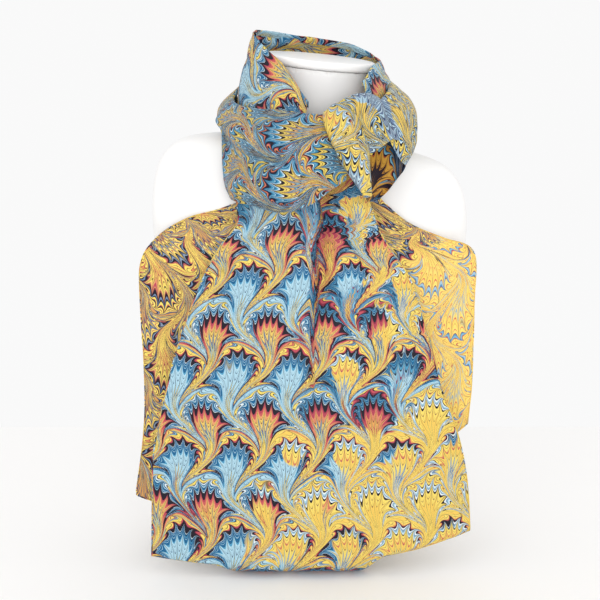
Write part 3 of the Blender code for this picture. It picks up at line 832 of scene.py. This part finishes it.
RIGHT_PUFF = (
    (-26, 97, 511, 103, 506, 107, 499, 109, 491, 110, 483),
    (-33, 103, 514, 114, 508, 119, 500, 121, 491, 120, 482),
    (-42, 98, 519, 117, 507, 128, 488, 129, 470, 124, 455),
    (-54, 90, 524, 111, 508, 124, 483, 120, 463, 112, 449),
    (-68, 82, 527, 102, 510, 112, 486, 108, 470, 99, 460),
    (-90, 77, 527, 91, 518, 103, 498, 100, 480, 90, 467),
    (-112, 78, 531, 85, 519, 92, 504, 104, 485, 94, 461),
)
KNOT_BANDS = (
    (
        (0, GREY), (0.035, MIST), (0.08, DUSK), (0.11, PEARL), (0.16, "6F9AC0"), (0.2, BLACK),
        (0.26, YELLOW), (0.32, BARK), (0.335, YELLOW), (0.38, BLACK), (0.45, PEARL),
        (0.5, "5C8CB4"), (0.54, BLACK), (0.59, YELLOW), (0.65, BLACK), (0.7, MIST), (0.75, STEEL),
        (0.8, BLACK), (0.85, YELLOW), (0.91, BARK), (0.93, "F6D060"),
    ),
    (
        (0, GREY), (0.04, BLACK), (0.07, MIST), (0.12, DUSK), (0.16, BLACK), (0.2, YELLOW),
        (0.28, BARK), (0.3, YELLOW), (0.36, "C8704A"), (0.39, BLACK), (0.45, PEARL), (0.5, STEEL),
        (0.54, BLACK), (0.59, YELLOW), (0.65, BARK), (0.665, YELLOW), (0.75, BLACK), (0.79, MIST),
        (0.84, STEEL), (0.87, BLACK), (0.92, "F6D060"),
    ),
)
STREAK_ROW = (
    (0, "5A6E90"), (0.05, HAZE), (0.1, SLATE), (0.14, "9FB4C8"), (0.22, DUSK), (0.3, HAZE),
    (0.36, BLACK), (0.4, "8496AE"), (0.5, SLATE), (0.55, HAZE), (0.62, "5A6E90"), (0.7, "C8E0EC"),
    (0.76, SLATE), (0.82, GREY), (0.92, HAZE),
)
STREAK_BANDS = (STREAK_ROW, STREAK_ROW)
knot_silk = marbled_silk("silk_twill_knot", KNOT_BANDS, YELLOW_BANDS, STREAK_BANDS)
puff_creases = (
    Crease(0.3, 0.2, 0.95, 0.35, 2, 2, 6, 6),
    Crease(0.35, 0.6, 0.98, 0.6, 2, 2.5, 7, 7),
)
puff = rolled(ring_points(RIGHT_PUFF, 60, 76), 2.4, 5.0)
puff = creased(puff, puff_creases, 0.6, 4.0)

# A grey-blue streak of the marbling runs down the valley between this lobe and the middle one.
streak = ((56, 524), (66, 522), (74, 516), (79, 508), (82, 499), (86, 491), (92, 484))
streak_patches = [Patch(x, z, 5.5, 0.0, 1.7) for x, z in streak]
right_puff = silk_sheet(
    "right_puff_cloth",
    "knot_right_puff",
    puff,
    knot_silk,
    WARM_CROWN,
    (107.6, -60, 488.5),
    10,
    patches=streak_patches,
)


# The inner wall is the inside of the folded end: the silk's other face, deep in shade, seen in
# the pocket under the puffs. Its dyes carry painted shade as well.

# Across it: the left edge, the right edge, how far it bows to the front and how far it arches.
KNOT_INNER_WALL = (
    (52, -98, 482, 96, -72, 474, -6, 0),
    (54, -102, 463, 102, -70, 459, -9, 0),
    (56, -104, 449, 103, -70, 446, -9, 0),
    (58, -108, 437, 94, -78, 435, -8, 0),
    (60, -112, 427, 85, -88, 426, -5, 0),
    (62, -117, 418, 71, -106, 416, -1, 0),
)


# A lobe's arch is a sine raised to this power, a little more pointed than a plain one.
LOBE_POWER = 1.4


def lobe_points(sections, rows, columns):
    """A lobe of the knot, each section an arch from its left edge to its right edge."""
    read = between(sections, rows)[:, None, :]
    turn = np.linspace(0, math.pi, columns)[None, :]
    t = (1 - np.cos(turn)) / 2
    arch = np.sin(turn) ** LOBE_POWER
    x = read[..., 0] + (read[..., 3] - read[..., 0]) * t
    y = read[..., 1] + (read[..., 4] - read[..., 1]) * t - arch * read[..., 6]
    z = read[..., 2] + (read[..., 5] - read[..., 2]) * t + arch * read[..., 7]
    return np.stack([x, y, z], axis=-1)


# The pocket's marbling has a black heart and yellow fans, with the yellows darkened as painted
# shade.
HOLLOW_SHADE_BANDS = (
    (
        (0, BLACK), (0.2, "C98A34"), (0.24, BLACK), (0.26, "E3A840"), (0.34, "7A4A28"),
        (0.35, "E9B044"), (0.46, "C0603A"), (0.5, BLACK), (0.56, PALE), (0.62, "3C90BC"),
        (0.66, BLACK), (0.7, "C08A34"), (0.82, BLACK), (0.84, "2A6088"), (0.94, BLACK),
    ),
    (
        (0, BLACK), (0.12, "C98A34"), (0.2, BLACK), (0.22, "E3A840"), (0.36, "7A4A28"),
        (0.38, "C98A34"), (0.48, BLACK), (0.58, "3C6A8C"), (0.66, BLACK), (0.7, GREY),
        (0.8, BLACK), (0.84, "2A6088"), (0.94, BLACK),
    ),
)
# Its value is lowered to 0.75: more painted shade of the pocket.
hollow_shade_silk = marbled_silk("silk_twill_hollow_shade", HOLLOW_SHADE_BANDS, KNOT_BANDS, RED_BANDS, 0.75)
inner_creases = (
    Crease(0.5, 0.1, 0.45, 0.9, 1.5, 1.5, 5, 5),
    Crease(0.75, 0.2, 0.7, 0.9, 1.5, 1.0, 5, 5),
)
inner = creased(lobe_points(KNOT_INNER_WALL, 40, 36), inner_creases, 0.4, 6.0)
inner = in_front_of(inner, [bust, under_tail])
inner_wall = silk_sheet(
    "inner_wall_cloth", "knot_inner_wall", inner, hollow_shade_silk, WARM_CROWN, (80, -80, 462), -20
)


# The middle puff is the folded end's middle lobe: silk gathered by the pull of the tails, which
# arches over the pocket.

MIDDLE_PUFF = (
    (29, -96, 511, 76, -84, 517, 3, 11),
    (38, -108, 510, 79, -94, 512, 13, 9),
    (48, -114, 502, 82, -100, 503, 14, 3),
    (54, -117, 488, 86, -102, 495, 12, 0),
    (58, -119, 475, 89, -103, 489, 8, 0),
    (61, -119, 463, 91, -103, 483, 2, 0),
)
middle_creases = (
    Crease(0.3, 0.1, 0.35, 0.9, 1.5, 1.5, 4, 4),
    Crease(0.65, 0.1, 0.6, 0.9, 1.5, 1.5, 4, 4),
)
middle = creased(lobe_points(MIDDLE_PUFF, 50, 46), middle_creases, 0.4, 8.0)
middle = in_front_of(middle, [right_puff], only_before=-50.0)
middle_puff = silk_sheet(
    "middle_puff_cloth",
    "knot_middle_puff",
    middle,
    knot_silk,
    WARM_CROWN,
    (72.1, -100, 500.7),
    0,
    patches=streak_patches,
)


# The knot's flap is the front of the folded end: silk drawn to a cone with its tip down, held
# by nothing but the loop's own pull.

KNOT_FLAP = (
    (22, -106, 511, 42, -106, 512, 5, 6),
    (16, -122, 507, 51, -117, 505, 12, 3),
    (20, -134, 491, 58, -122, 490, 17, 0),
    (28, -137, 473, 63, -124, 472, 18, 0),
    (37, -137, 456, 64, -126, 456, 14, 0),
    (48, -136, 440, 65, -128, 441, 9, 0),
    (59, -133, 425, 66, -128, 426, 2, 0),
)
flap_creases = (
    Crease(0.45, 0.05, 0.55, 0.8, 2, 1, 4, 4),
    Crease(0.05, 0.5, 0.9, 0.42, 1.5, 1.5, 4, 4),
    Crease(0.75, 0.1, 0.7, 0.9, 1.2, 1, 4, 4),
)
flap = creased(lobe_points(KNOT_FLAP, 60, 42), flap_creases, 0.4, 10.0)
flap = in_front_of(flap, [cross_wrap, middle_puff], gap=0.5)
knot_flap = silk_sheet(
    "knot_flap_cloth",
    "knot_flap",
    flap,
    knot_silk,
    WARM_CROWN,
    (48.4, -145, 467),
    -20,
    # The flap leans to the darker knot palette: partly its own dyes, partly painted shade.
    tone=(0.35, 0.0),
)


# The table and what is beyond it are plain and pale. The light is soft and comes from all sides,
# a little stronger from the front.


def plain_plane(name, corners, colour, roughness):
    made, shader, _ = finish_of(name, roughness, Specular_IOR_Level=0.2)
    shader.inputs["Base Color"].default_value = paint(colour)
    mesh = bpy.data.meshes.new(name)
    mesh.from_pydata(corners, [], [(0, 1, 2, 3)])
    plane = bpy.data.objects.new(name, mesh)
    bpy.context.scene.collection.objects.link(plane)
    plane.data.materials.append(made)


def soft_light(name, place, aim, size, power):
    lamp = bpy.data.lights.new(name, "AREA")
    lamp.shape = "DISK"
    lamp.size = size
    lamp.energy = power
    light = bpy.data.objects.new(name, lamp)
    light.location = place
    light.rotation_euler = (Vector(aim) - Vector(place)).to_track_quat("-Z", "Y").to_euler()
    bpy.context.scene.collection.objects.link(light)


plain_plane("table", [(-4, -3, 0), (4, -3, 0), (4, 0.386, 0), (-4, 0.386, 0)], "FAF9F8", 0.6)
soft_light("key", (-0.7, -1.7, 1.5), (0, 0, 0.4), 1.2, 3)
soft_light("fill", (0.15, -2.2, 0.85), (0, 0, 0.45), 1.0, 13)
world = bpy.data.worlds.new("studio")
bpy.context.scene.world = world
world.use_nodes = True
world.node_tree.nodes["Background"].inputs["Color"].default_value = (1.0, 1.0, 1.0, 1.0)
world.node_tree.nodes["Background"].inputs["Strength"].default_value = 0.95
bpy.context.scene.view_settings.view_transform = "Standard"

lens = bpy.data.cameras.new("camera")
lens.lens = 81.0
lens.sensor_width = 36.0
camera = bpy.data.objects.new("camera", lens)
camera.location = (-0.0042, -1.4438, 0.672)
camera.rotation_euler = (math.radians(75.2), 0.0, 0.0)
bpy.context.scene.collection.objects.link(camera)
bpy.context.scene.camera = camera
